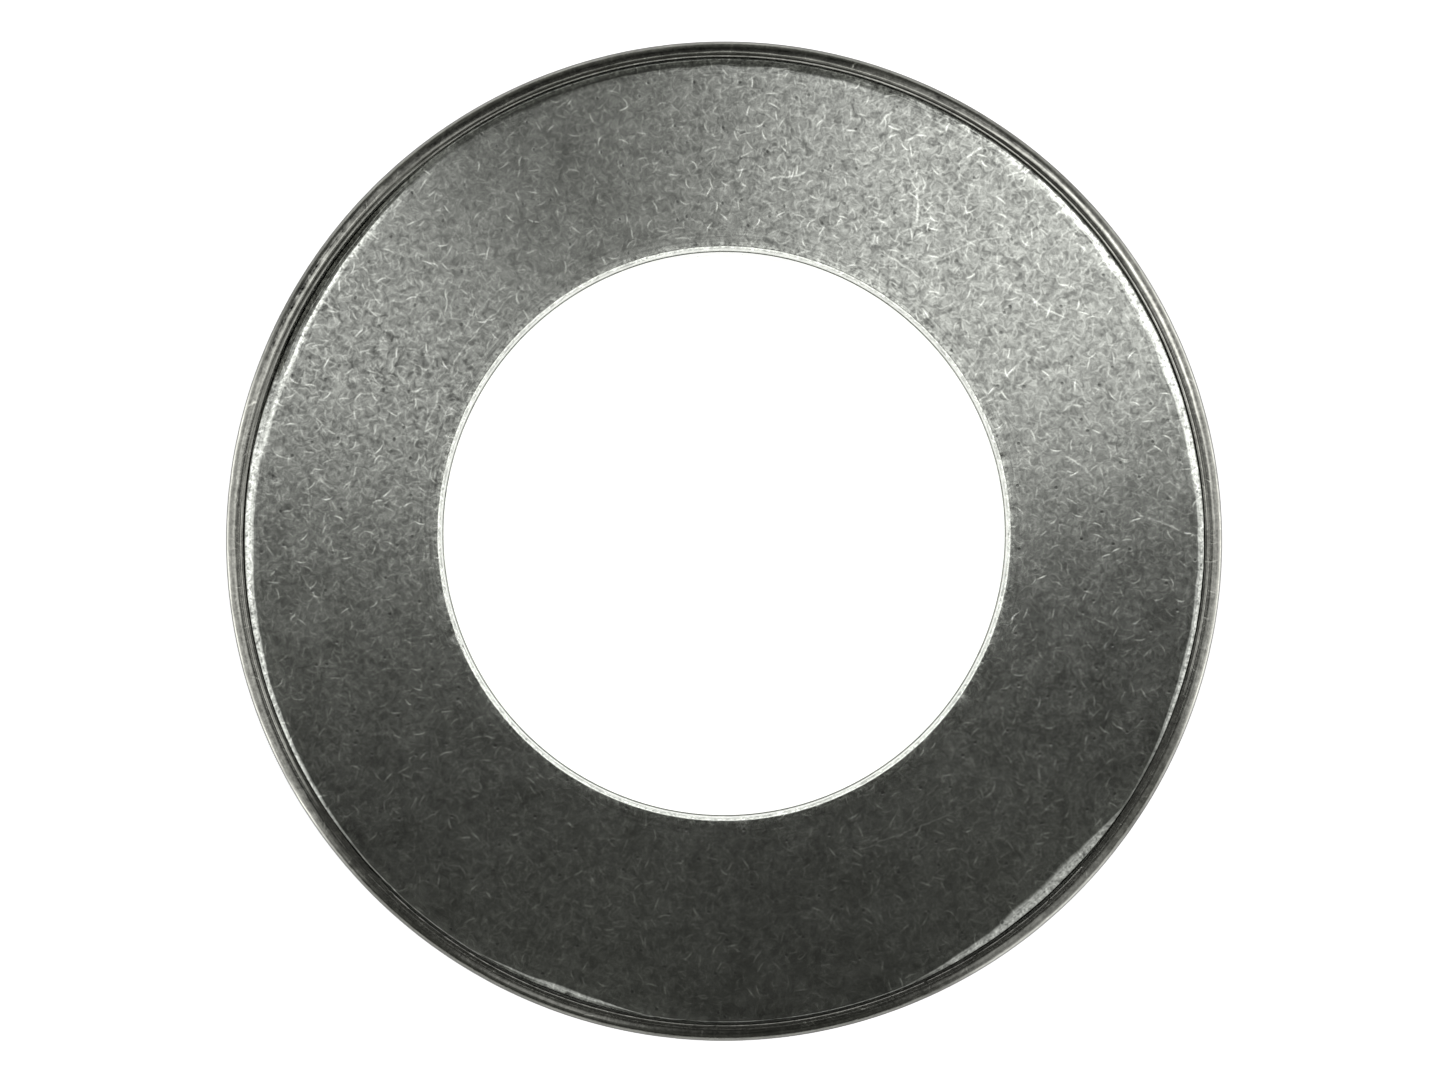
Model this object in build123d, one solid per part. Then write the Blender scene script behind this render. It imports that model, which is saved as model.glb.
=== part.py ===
from build123d import *
import math
import os

# Banded single-direction thrust ball bearing, 35 x 62 x 12 mm.
# Frame: millimetres, +Z up along the bore axis, origin on that axis at the bottom seat face.

# Overall sizes
BORE_D = 35.0             # bore of the shaft washer, the size of the shaft
OUTER_D = 62.0            # outside of the band, the size of the housing recess
HEIGHT = 12.0             # from the bottom seat face to the top seat face

# Balls and raceways
BALL_D = 6.35             # quarter-inch balls
BALL_COUNT = 20
PITCH_D = 47.625          # circle through the ball centres
GROOVE_R = 3.43           # raceway section, 54 per cent of the ball diameter
RACE_GAP = 0.02           # clearance between each ball and the bottom of each groove

# Washers
WASHER_T = 3.70           # thickness of each washer between its groove side and its seat face
FACE_D = 59.40            # raised seat face of each washer, inside the band's lips
SHAFT_RIM_D = 60.36       # rim of the shaft washer, held loosely under the upper lip
HOUSING_BORE_D = 38.0     # bore of the housing washer, clear of the shaft
RIM_STEP = 1.10           # depth from the top seat face down to the rim of the shaft washer
SHOULDER_W = 0.70         # width of the soft shoulder round the shaft washer's seat face
SHOULDER_DROP = 0.18      # depth of that shoulder at its outer edge
SHOULDER_BLEND_R = 2.00   # blend from the seat face into the shoulder
SHOULDER_EDGE_R = 0.25    # rounded outer edge of the shoulder
SEAT_EDGE_R = 0.30        # rounded outer edge of the housing washer's seat face
CHAMFER_W = 0.20          # width of the steep chamfer at both ends of each bore
CHAMFER_H = 0.35          # depth of that chamfer along the bore
RIM_R = 0.15              # small rounding on the rim of the shaft washer

# Outer band, one thin steel sleeve with both edges rolled inwards
BAND_T = 0.70             # sheet thickness
BAND_SETBACK = 0.25       # each lip lies this far below the seat face beside it
LIP_BORE_D = 59.76        # opening inside the upper lip
LOWER_LIP_BORE_D = 59.50  # opening inside the lower lip, close round the housing washer
BAND_CORNER_R = 0.80      # rolled outer corner
LIP_SAG = 0.06            # each lip's inner edge leans in by this much
LIP_EDGE_R = 0.12         # softened inner edge of each lip

# Cage, one pressed steel ring of channel section with a window for each ball
CAGE_T = 0.60             # sheet thickness
CAGE_SIDE_GAP = 0.20      # from the balls to the cage's inner and outer walls
CAGE_WEB_Z = 0.90         # underside of the web, above the ball centres
CAGE_WALL_DROP = 1.60     # lower ends of the walls, below the ball centres
WINDOW_D = 6.30           # a little under the ball diameter, so that the balls carry the cage
CAGE_BEND_R = 0.50        # outer bend between the web and each wall

BALL_Z = HEIGHT / 2
BALL_R = BALL_D / 2
PITCH_R = PITCH_D / 2
BAND_INNER_R = OUTER_D / 2 - BAND_T


def turned_ring(outline, roundings=()):
    """Revolve a closed (radius, height) outline; each rounding is (radius, height, size)."""
    face = make_face(Plane.XZ * Polyline(*outline, close=True))
    for corner_r, corner_z, size in roundings:
        corner = face.vertices().sort_by_distance(Vector(corner_r, 0, corner_z))[0]
        face = fillet(corner, size)
    return revolve(face, Axis.Z)


def raceway(groove_bottom_z, side):
    """The torus that cuts a groove; side is +1 for a groove above the balls, -1 below."""
    section_z = groove_bottom_z - side * GROOVE_R
    return Pos(0, 0, section_z) * Torus(PITCH_R, GROOVE_R)


def shaft_washer():
    """Upper washer: seat face on top, ball groove underneath, rim held under the band's lip."""
    bore_r = BORE_D / 2
    face_r = FACE_D / 2
    rim_r = SHAFT_RIM_D / 2
    under_z = HEIGHT - WASHER_T
    rim_z = HEIGHT - RIM_STEP
    shoulder_r = face_r - SHOULDER_W
    shoulder_z = HEIGHT - SHOULDER_DROP
    outline = [
        (bore_r + CHAMFER_W, under_z),
        (rim_r, under_z),
        (rim_r, rim_z),
        (face_r, rim_z),
        (face_r, shoulder_z),
        (shoulder_r, HEIGHT),
        (bore_r + CHAMFER_W, HEIGHT),
        (bore_r, HEIGHT - CHAMFER_H),
        (bore_r, under_z + CHAMFER_H),
    ]
    roundings = [
        (shoulder_r, HEIGHT, SHOULDER_BLEND_R),
        (face_r, shoulder_z, SHOULDER_EDGE_R),
        (rim_r, rim_z, RIM_R),
        (rim_r, under_z, RIM_R),
    ]
    groove_bottom = BALL_Z + BALL_R + RACE_GAP
    return turned_ring(outline, roundings) - raceway(groove_bottom, 1)


def housing_washer():
    """Lower washer: seat face underneath, ball groove on top, outside pressed in the band."""
    bore_r = HOUSING_BORE_D / 2
    face_r = LOWER_LIP_BORE_D / 2
    top_z = WASHER_T
    rim_z = BAND_SETBACK + BAND_T
    outline = [
        (bore_r + CHAMFER_W, 0),
        (face_r, 0),
        (face_r, rim_z),
        (BAND_INNER_R, rim_z),
        (BAND_INNER_R, top_z),
        (bore_r + CHAMFER_W, top_z),
        (bore_r, top_z - CHAMFER_H),
        (bore_r, CHAMFER_H),
    ]
    roundings = [(face_r, 0, SEAT_EDGE_R)]
    groove_bottom = BALL_Z - BALL_R - RACE_GAP
    return turned_ring(outline, roundings) - raceway(groove_bottom, -1)


def outer_band():
    """Thin sleeve round both washers, its two edges rolled inwards as lips."""
    outer_r = OUTER_D / 2
    low_z = BAND_SETBACK
    high_z = HEIGHT - BAND_SETBACK
    upper_r = LIP_BORE_D / 2
    lower_r = LOWER_LIP_BORE_D / 2
    bend_r = outer_r - BAND_CORNER_R
    upper_edge_z = high_z - LIP_SAG
    lower_edge_z = low_z + LIP_SAG
    outline = [
        (outer_r, low_z),
        (outer_r, high_z),
        (bend_r, high_z),
        (upper_r, upper_edge_z),
        (upper_r, high_z - BAND_T),
        (BAND_INNER_R, high_z - BAND_T),
        (BAND_INNER_R, low_z + BAND_T),
        (lower_r, low_z + BAND_T),
        (lower_r, lower_edge_z),
        (bend_r, low_z),
    ]
    roundings = [
        (outer_r, low_z, BAND_CORNER_R - 0.01),
        (outer_r, high_z, BAND_CORNER_R - 0.01),
        (upper_r, upper_edge_z, LIP_EDGE_R),
        (upper_r, high_z - BAND_T, LIP_EDGE_R),
        (lower_r, lower_edge_z, LIP_EDGE_R),
    ]
    return turned_ring(outline, roundings)


def ball_angle(index):
    """Azimuth in degrees of one ball, counted from 0."""
    return 360.0 * index / BALL_COUNT


def ball_place(index):
    """Location of one ball centre on the pitch circle."""
    angle = math.radians(ball_angle(index))
    return Pos(PITCH_R * math.cos(angle), PITCH_R * math.sin(angle), BALL_Z)


def ball_cage():
    """Channel-section ring: flat web above the ball centres, a wall on each side of the balls."""
    inner_wall_r = PITCH_R - BALL_R - CAGE_SIDE_GAP
    outer_wall_r = PITCH_R + BALL_R + CAGE_SIDE_GAP
    inner_r = inner_wall_r - CAGE_T
    outer_r = outer_wall_r + CAGE_T
    low_z = BALL_Z - CAGE_WALL_DROP
    web_z = BALL_Z + CAGE_WEB_Z
    top_z = web_z + CAGE_T
    outline = [
        (inner_r, low_z),
        (inner_wall_r, low_z),
        (inner_wall_r, web_z),
        (outer_wall_r, web_z),
        (outer_wall_r, low_z),
        (outer_r, low_z),
        (outer_r, top_z),
        (inner_r, top_z),
    ]
    roundings = [
        (inner_r, top_z, CAGE_BEND_R),
        (outer_r, top_z, CAGE_BEND_R),
    ]
    cage = turned_ring(outline, roundings)
    for index in range(BALL_COUNT):
        cage -= ball_place(index) * Cylinder(
            WINDOW_D / 2, HEIGHT, align=(Align.CENTER, Align.CENTER, Align.MIN)
        )
    return cage


def ball(index):
    """One ball on the pitch circle, its poles on the radial line that it rolls about."""
    return ball_place(index) * Rot(0, 0, ball_angle(index)) * Rot(0, 90, 0) * Sphere(BALL_R)


def save(name, shape):
    """Write one node to its own STEP file."""
    export_step(shape, f"parts/{name}.step")


os.makedirs("parts", exist_ok=True)
save("shaft_washer", shaft_washer())
save("housing_washer", housing_washer())
save("outer_band", outer_band())
save("ball_cage", ball_cage())
for index in range(BALL_COUNT):
    save(f"ball_{index + 1:02d}", ball(index))
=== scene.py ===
import math
import random

import bpy
import numpy as np
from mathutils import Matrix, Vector


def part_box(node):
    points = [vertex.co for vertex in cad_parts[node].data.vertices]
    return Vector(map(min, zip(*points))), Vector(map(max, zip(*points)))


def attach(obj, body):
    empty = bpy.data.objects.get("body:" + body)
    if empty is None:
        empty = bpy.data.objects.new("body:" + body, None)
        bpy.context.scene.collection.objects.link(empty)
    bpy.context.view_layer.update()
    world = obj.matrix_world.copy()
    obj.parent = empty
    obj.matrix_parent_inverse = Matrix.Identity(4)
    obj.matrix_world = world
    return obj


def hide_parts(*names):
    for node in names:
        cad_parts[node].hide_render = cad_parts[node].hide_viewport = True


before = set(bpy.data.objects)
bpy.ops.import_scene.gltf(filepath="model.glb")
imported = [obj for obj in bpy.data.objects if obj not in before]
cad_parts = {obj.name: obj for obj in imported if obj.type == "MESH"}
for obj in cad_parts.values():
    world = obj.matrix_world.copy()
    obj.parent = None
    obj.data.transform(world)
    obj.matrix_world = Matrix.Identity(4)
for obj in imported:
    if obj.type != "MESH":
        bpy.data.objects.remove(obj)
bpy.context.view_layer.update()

# Sizes in millimetres, as in the CAD; meshes are scaled to metres when they are built.
MM = 0.001
top_low, top_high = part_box("shaft_washer")
low_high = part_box("housing_washer")[1]
band_low, band_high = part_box("outer_band")
HEIGHT = top_high.z / MM
OUTER_R = band_high.x / MM
SHAFT_R = 17.5            # bore of the shaft washer
HOUSING_BORE_R = 19.0     # bore of the housing washer
CHAMFER_W = 0.20          # chamfer at both ends of each bore
CHAMFER_H = 0.35
FACE_R = 29.70            # seat face of the shaft washer
LOW_FACE_R = 29.75        # seat face of the housing washer, with the band's lower lip round it
RIM_R = top_high.x / MM   # rim of the shaft washer, under the band's upper lip
RIM_Z = HEIGHT - 1.10
UNDER_Z = top_low.z / MM
SHOULDER_W = 0.70         # soft shoulder round the shaft washer's face
SHOULDER_DROP = 0.18
PITCH_R = 23.8125         # circle through the ball centres
GROOVE_R = 3.43           # section of the ball grooves
RACE_GAP = 0.02
BALL_R = 3.175
BALL_Z = HEIGHT / 2
BAND_T = 0.70             # sheet of the band
BAND_IN_R = OUTER_R - BAND_T
BAND_TOP = band_high.z / MM
BAND_LOW = band_low.z / MM
LIP_R = 29.84             # inner edge of the band's upper lip
LIP_SAG = 0.06
BEND_R = 0.80             # rolled outer corner of the band

# How finely the turned meshes are divided
TOP_SEGMENTS = 960        # steps round the shaft washer and the band
LOW_SEGMENTS = 720        # steps round the housing washer
CORNER_STEP_DEG = 11.25   # turn between two points of a rounded corner
BAND_STEP_DEG = 8         # the same on the band
FEWEST_STEPS = 3          # steps in the smallest rounded corner
HOLD = 0.03               # mm from a rounded corner to the row of points that keeps the next face flat
GROOVE_STEPS = 14         # steps across a ball groove
WALL_MAP_SHIFT = 50       # mm that keep the map of the walls away from the map of the faces
WAVE_GAIN = 1.6           # brings a sum of waves to about -1 to 1


# -------- turned meshes

def rounded(corners, step_deg=CORNER_STEP_DEG):
    """Points of a closed (radius, height) outline; each corner is (r, z, rounding)."""
    points = []
    for i, (r, z, size) in enumerate(corners):
        here = Vector((r, z))
        if size == 0:
            points.append(here)
            continue
        before = Vector(corners[i - 1][:2])
        after = Vector(corners[(i + 1) % len(corners)][:2])
        u = (before - here).normalized()
        v = (after - here).normalized()
        angle = u.angle(v)
        reach = size / math.tan(angle / 2)
        centre = here + (u + v).normalized() * (size / math.sin(angle / 2))
        first = here + u * reach - centre
        last = here + v * reach - centre
        turn = math.pi - angle
        steps = max(FEWEST_STEPS, round(math.degrees(turn) / step_deg))
        sign = 1 if first.x * last.y > first.y * last.x else -1
        if reach + HOLD < (before - here).length / 2:
            points.append(here + u * (reach + HOLD))
        for k in range(steps + 1):
            a = sign * turn * k / steps
            c, s = math.cos(a), math.sin(a)
            points.append(centre + Vector((first.x * c - first.y * s, first.x * s + first.y * c)))
        if reach + HOLD < (after - here).length / 2:
            points.append(here + v * (reach + HOLD))
    return points


def groove(centre_z, surface_z):
    """Points of the raceway's section from the outer lip to the inner one."""
    rise = surface_z - centre_z
    half = math.sqrt(GROOVE_R ** 2 - rise ** 2)
    start = math.atan2(rise, half)
    end = math.atan2(rise, -half)
    turns = [start + (end - start) * k / GROOVE_STEPS for k in range(GROOVE_STEPS + 1)]
    return [Vector((PITCH_R + GROOVE_R * math.cos(a), centre_z + GROOVE_R * math.sin(a))) for a in turns]


def smooth_mesh(name, points, quads):
    """A smooth mesh from arrays of points in metres and of four-cornered faces."""
    mesh = bpy.data.meshes.new(name)
    mesh.vertices.add(len(points))
    mesh.vertices.foreach_set("co", points.astype(np.float32).ravel())
    mesh.loops.add(quads.size)
    mesh.loops.foreach_set("vertex_index", quads.astype(np.int32).ravel())
    mesh.polygons.add(len(quads))
    mesh.polygons.foreach_set("loop_start", np.arange(0, quads.size, 4, dtype=np.int32))
    mesh.update(calc_edges=True)
    mesh.validate()
    mesh.polygons.foreach_set("use_smooth", np.ones(len(quads), bool))
    return mesh


def store(mesh, key, kind, field, values):
    """Store numbers or vectors at each corner of the faces."""
    layer = mesh.attributes.new(key, kind, "CORNER")
    layer.data.foreach_set(field, values.astype(np.float32).ravel())


def lathe(name, outline, segments, move, wear_and_painted_light=None):
    """Revolve a closed outline into a mesh.

    move(theta, r, z) gives shifts in r and z in mm, and the other function of (theta, r, z) gives the wear
    and the painted highlights and shade.
    """
    r = np.array([p.x for p in outline])
    z = np.array([p.y for p in outline])
    if np.sum(r * np.roll(z, -1) - np.roll(r, -1) * z) < 0:
        r, z = r[::-1].copy(), z[::-1].copy()
    count = len(r)
    theta = 2 * math.pi * np.arange(segments) / segments
    all_theta, all_r = np.meshgrid(theta, r, indexing="ij")
    all_z = np.meshgrid(theta, z, indexing="ij")[1]
    shift_r, shift_z = move(all_theta, all_r, all_z)
    all_r, all_z = all_r + shift_r, all_z + shift_z
    points = np.stack([all_r * np.cos(all_theta), all_r * np.sin(all_theta), all_z], axis=-1)
    j, k = np.meshgrid(np.arange(segments), np.arange(count), indexing="ij")
    next_j, next_k = (j + 1) % segments, (k + 1) % count
    quads = np.stack([
        j * count + k,
        next_j * count + k,
        next_j * count + next_k,
        j * count + next_k,
    ], axis=-1)
    mesh = smooth_mesh(name, points.reshape(-1, 3) * MM, quads.reshape(-1, 4))

    # "surf" is a flat map in mm: plan view on flat faces, unrolled on walls.
    # "lathe" is the share of the turn and the length along the outline in mm.
    step_r = np.diff(np.append(r, r[0]))
    step_z = np.diff(np.append(z, z[0]))
    length = np.concatenate([[0], np.cumsum(np.hypot(step_r, step_z))])
    flat = np.abs(step_r) > np.abs(step_z)
    corner_j = np.stack([j, j + 1, j + 1, j], axis=-1)
    corner_k = np.stack([k, k, k + 1, k + 1], axis=-1)
    angle = 2 * math.pi * corner_j / segments
    corner_r, corner_z = r[corner_k % count], z[corner_k % count]
    moved_r = all_r[corner_j % segments, corner_k % count]
    moved_z = all_z[corner_j % segments, corner_k % count]
    is_flat = np.broadcast_to(flat[k][..., None], angle.shape)
    mean_r = np.broadcast_to(corner_r.mean(axis=-1, keepdims=True), corner_r.shape)
    map_u = np.where(is_flat, moved_r * np.cos(angle), angle * mean_r)
    map_v = np.where(is_flat, moved_r * np.sin(angle), moved_z + WALL_MAP_SHIFT)
    level = np.zeros_like(angle)
    surf = np.stack([map_u, map_v, level], axis=-1)
    turn = np.stack([corner_j / segments, length[corner_k], level], axis=-1)
    store(mesh, "surf", "FLOAT_VECTOR", "vector", surf)
    store(mesh, "lathe", "FLOAT_VECTOR", "vector", turn)
    if wear_and_painted_light is not None:
        store(mesh, "wear_and_painted_light", "FLOAT", "value", wear_and_painted_light(angle, corner_r, corner_z))
    mesh.update()
    piece = bpy.data.objects.new(name, mesh)
    bpy.context.scene.collection.objects.link(piece)
    return piece


def dents(seed, count, width, depth):
    """Random small dents round an edge: a function of the angle that gives their depth in mm."""
    rng = random.Random(seed)
    made = [(rng.uniform(0, 2 * math.pi), rng.uniform(*width), rng.uniform(*depth) * rng.random())
            for _ in range(count)]

    def depth_at(theta, radius):
        total = np.zeros_like(theta)
        for at, size, deep in made:
            away = (theta - at + math.pi) % (2 * math.pi) - math.pi
            total = np.maximum(total, deep * np.exp(-((away * radius / size) ** 2)))
        return total
    return depth_at


def waves(seed, low, high, count):
    """Random unevenness round a ring, about -1 to 1, of low to high waves to the turn."""
    rng = random.Random(seed)
    made = [(rng.randint(low, high), rng.uniform(0, 2 * math.pi), rng.uniform(0.4, 1)) for _ in range(count)]

    def value_at(theta):
        total = sum(w * np.sin(n * theta + p) for n, p, w in made)
        return total / sum(w for _, _, w in made) * WAVE_GAIN
    return value_at


def by_azimuth(stops):
    """A function of the angle from a list of (degrees, value), joined by straight lines round the ring."""
    at = [math.radians(a) for a, _ in stops]
    values = [v for _, v in stops]

    def value_at(theta):
        return np.interp(theta % (2 * math.pi), at + [at[0] + 2 * math.pi], values + [values[0]])
    return value_at


def by_radius(stops):
    """A function of the radius from a list of (radius in mm, value), joined by straight lines."""
    at, values = zip(*stops)

    def value_at(r):
        return np.interp(r, at, values)
    return value_at


def nearness(r, z, edge_r, edge_z, reach):
    """1 on an edge, falling to 0 at a distance of reach mm from it."""
    return np.clip(1 - np.hypot(r - edge_r, z - edge_z) / reach, 0, 1)


# -------- material nodes

CURVE_TOP = 4.0           # the largest value that a curve by azimuth can hold
NOISE_LOW = 0.3           # the usual range of a noise
NOISE_HIGH = 0.7


class Nodes:
    """Small helper that adds nodes to a tree and links them."""

    def __init__(self, tree):
        self.tree = tree

    def add(self, kind, **props):
        node = self.tree.nodes.new(kind)
        for key, value in props.items():
            setattr(node, key, value)
        return node

    def put(self, socket, value):
        """Link a socket to another one, or set it directly to a constant."""
        if isinstance(value, bpy.types.NodeSocket):
            self.tree.links.new(value, socket)
        elif value is not None:
            socket.default_value = value

    def math(self, op, a, b=None, clamp=False):
        node = self.add("ShaderNodeMath", operation=op, use_clamp=clamp)
        self.put(node.inputs[0], a)
        self.put(node.inputs[1], b)
        return node.outputs[0]

    def plus(self, a, b):
        return self.math("ADD", a, b)

    def minus(self, a, b, clamp=False):
        return self.math("SUBTRACT", a, b, clamp)

    def times(self, a, b, clamp=False):
        return self.math("MULTIPLY", a, b, clamp)

    def vector(self, op, a, b=None, c=None):
        node = self.add("ShaderNodeVectorMath", operation=op)
        for socket, value in zip(node.inputs, (a, b, c)):
            self.put(socket, value)
        return node.outputs["Value"] if op in ("LENGTH", "DOT_PRODUCT") else node.outputs["Vector"]

    def scaled(self, vector, share):
        node = self.add("ShaderNodeVectorMath", operation="SCALE")
        self.put(node.inputs[0], vector)
        self.put(node.inputs["Scale"], share)
        return node.outputs["Vector"]

    def split(self, vector):
        """The x, y and z of a vector."""
        node = self.add("ShaderNodeSeparateXYZ")
        self.put(node.inputs[0], vector)
        return node.outputs

    def noise(self, vector, scale, detail, rough, distortion=0.0):
        node = self.add("ShaderNodeTexNoise", noise_dimensions="3D")
        self.put(node.inputs["Vector"], vector)
        self.put(node.inputs["Scale"], scale)
        self.put(node.inputs["Detail"], detail)
        self.put(node.inputs["Roughness"], rough)
        self.put(node.inputs["Distortion"], distortion)
        return node.outputs["Fac"]

    def cells(self, vector, scale):
        """The outputs of a flat pattern of random cells."""
        node = self.add("ShaderNodeTexVoronoi", voronoi_dimensions="2D", feature="F1")
        self.put(node.inputs["Vector"], vector)
        self.put(node.inputs["Scale"], scale)
        return node.outputs

    def remap(self, value, a, b, c, d, smooth=False):
        """The value brought from the range a to b to the range c to d, and held inside it."""
        node = self.add("ShaderNodeMapRange", interpolation_type="SMOOTHSTEP" if smooth else "LINEAR")
        for socket, v in zip(node.inputs, (value, a, b, c, d)):
            self.put(socket, v)
        return node.outputs["Result"]

    def spread(self, noise, low, high):
        """A noise brought from its usual range to the range low to high."""
        return self.remap(noise, NOISE_LOW, NOISE_HIGH, low, high)

    def around(self, x, y, stops):
        """A value by azimuth: stops are (degrees, value), joined by straight lines."""
        angle = self.math("DIVIDE", self.math("ARCTAN2", y, x), 2 * math.pi)
        turn = self.math("FRACT", self.plus(angle, 1.0))
        node = self.add("ShaderNodeFloatCurve")
        curve = node.mapping.curves[0]
        points = [(a / 360, v / CURVE_TOP) for a, v in stops] + [(1.0, stops[0][1] / CURVE_TOP)]
        curve.points[0].location = points[0]
        curve.points[1].location = points[-1]
        for p in points[1:-1]:
            curve.points.new(*p)
        for p in curve.points:
            p.handle_type = "VECTOR"
        node.mapping.update()
        self.put(node.inputs["Value"], turn)
        return self.times(node.outputs[0], CURVE_TOP)

    def mix(self, factor, a, b):
        node = self.add("ShaderNodeMix", data_type="RGBA", blend_type="MIX")
        self.put(node.inputs["Factor"], factor)
        self.put(node.inputs["A"], a)
        self.put(node.inputs["B"], b)
        return node.outputs["Result"]

    def group(self, tree, **values):
        """The output of a node group with these inputs."""
        node = self.add("ShaderNodeGroup", node_tree=tree)
        for key, value in values.items():
            self.put(node.inputs[key], value)
        return node.outputs[0]

    def tinted(self, level, tone):
        """A colour from a grey level and the steel's tone."""
        tint = self.add("ShaderNodeCombineColor")
        for socket, part in zip(tint.inputs, tone):
            self.put(socket, self.times(level, part, clamp=True))
        return tint.outputs[0]

    def bump(self, height, strength, distance):
        node = self.add("ShaderNodeBump")
        self.put(node.inputs["Strength"], strength)
        self.put(node.inputs["Distance"], distance)
        self.put(node.inputs["Height"], height)
        return node.outputs[0]


VECTOR_INPUTS = ("Vector", "Offset", "Start", "Along", "Across")
CHANCE_MIX = 7.31         # makes a second random number out of the first
FAINTER = 0.55            # the faintest small scratch loses this share of its strength
STROKE_TAPER = 2.5        # how soon a long scratch reaches its full strength


def add_group(name, inputs):
    """A new node group with these inputs and one output, Mark: its helper, its inputs and its output."""
    tree = bpy.data.node_groups.new(name, "ShaderNodeTree")
    for key in inputs:
        kind = "NodeSocketVector" if key in VECTOR_INPUTS else "NodeSocketFloat"
        tree.interface.new_socket(key, in_out="INPUT", socket_type=kind)
    tree.interface.new_socket("Mark", in_out="OUTPUT", socket_type="NodeSocketFloat")
    n = Nodes(tree)
    return n, n.add("NodeGroupInput").outputs, n.add("NodeGroupOutput").inputs["Mark"]


def thin_line(n, side, width):
    """1 on the middle of a line, falling to 0 at the half width."""
    return n.minus(1.0, n.math("DIVIDE", n.math("ABSOLUTE", side), width), clamp=True)


def scratch_group():
    """Node group: one short, slightly bent scratch in each cell of a random pattern."""
    inputs = ["Vector", "Scale", "Offset", "Length", "Width", "Bend", "Share"]
    n, source, mark = add_group("scratches", inputs)
    scale = n.scaled((1, 1, 1), source["Scale"])
    where = n.vector("MULTIPLY_ADD", source["Vector"], scale, source["Offset"])
    cell = n.cells(where, 1.0)
    away = n.vector("SUBTRACT", where, cell["Position"])
    chance = n.add("ShaderNodeSeparateColor")
    n.put(chance.inputs[0], cell["Color"])
    turn = n.add("ShaderNodeVectorRotate", rotation_type="Z_AXIS")
    n.put(turn.inputs["Vector"], away)
    n.put(turn.inputs["Angle"], n.times(chance.outputs[0], 2 * math.pi))
    x, y, _ = n.split(turn.outputs[0])
    bend = n.times(n.minus(chance.outputs[1], 0.5), source["Bend"])
    line = thin_line(n, n.minus(y, n.times(bend, n.times(x, x))), source["Width"])
    along = n.math("DIVIDE", x, source["Length"])
    taper = n.minus(1.0, n.times(along, along), clamp=True)
    gate = n.math("LESS_THAN", chance.outputs[2], source["Share"])
    other_chance = n.math("FRACT", n.times(chance.outputs[1], CHANCE_MIX))
    weight = n.plus(1 - FAINTER, n.times(FAINTER, other_chance))
    n.put(mark, n.times(n.times(line, taper), n.times(gate, weight)))
    return n.tree


def stroke_group():
    """Node group: one long scratch from a start point along a unit vector, bowed sideways by Bow mm."""
    n, source, mark = add_group("stroke", ["Vector", "Start", "Along", "Across", "Width", "Bow"])
    away = n.vector("SUBTRACT", source["Vector"], source["Start"])
    share = n.vector("DOT_PRODUCT", away, source["Along"])
    arch = n.times(n.times(share, n.minus(1.0, share)), 4.0)
    side = n.minus(n.vector("DOT_PRODUCT", away, source["Across"]), n.times(arch, source["Bow"]))
    taper = n.times(arch, STROKE_TAPER, clamp=True)
    n.put(mark, n.times(thin_line(n, side, source["Width"]), taper))
    return n.tree


SCRATCHES = scratch_group()
STROKE = stroke_group()

# The looks of the two steels: tone, strength of the marks, and how the walls and pits differ.
TUMBLED_TONE = (0.498, 0.511, 0.475)
BAND_TONE = (0.266, 0.266, 0.242)
MEAN_LEVEL = 0.92         # the level that tumbling makes the marks and the mottling vary about
WALL_SHARE = 0.35         # how much of that variation is left on upright walls
FINE_STRENGTH = 0.46
MEDIUM_STRENGTH = 1.20
DEEP_STRENGTH = 1.1
# Strength of the painted highlights and shade on the band's lip and bend.
PAINTED_LIGHT_STRENGTH = 1.15
NICK_STRENGTH = 1.6
PIT_CELLS = 0.40          # cells per mm, each with one pit
PIT_EDGE = (0.02, 0.05)   # distances from the middle of a pit, in cells, between which it fades out
OUTER_ARCS = (27.8, 28.9)   # radii between which the arcs near the outer edge grow
INNER_ARCS = (19.6, 18.2)   # and those near the bore
WOBBLE = 0.5              # width in mm of the strip that a long scratch wanders in
STROKE_SOFTNESS = 1.3     # a long scratch fades out over this many of its half widths

# Small scratches: cells per mm, length, width and bend in cells, share of the cells, strength.
FINE_MARKS = [
    (1.35, 0.50, 0.110, 2.6, 0.85, 1.0),
    (1.10, 0.52, 0.090, 2.2, 0.80, 1.0),
    (1.70, 0.46, 0.130, 3.0, 0.85, 0.8),
]
MEDIUM_MARKS = [
    (0.80, 0.30, 0.066, 2.6, 0.42, 1.0),
    (0.60, 0.26, 0.048, 2.2, 0.34, 1.0),
]
BAND_MARKS = [
    (1.3, 0.50, 0.10, 2.2, 0.60, 1.0),
    (0.6, 0.45, 0.05, 1.6, 0.40, 1.0),
]
# How strongly the marks and the mottling show by azimuth: painted stronger where the light falls brighter.
MARKS_BY_LIGHT = [
    (0, 0.92), (30, 1.12), (60, 1.22), (90, 1.05), (105, 0.78), (125, 0.78), (140, 1.1), (152, 1.35),
    (170, 1.15), (190, 0.9), (210, 0.78), (270, 0.72), (310, 0.74), (335, 0.84), (350, 0.9),
]
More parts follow.
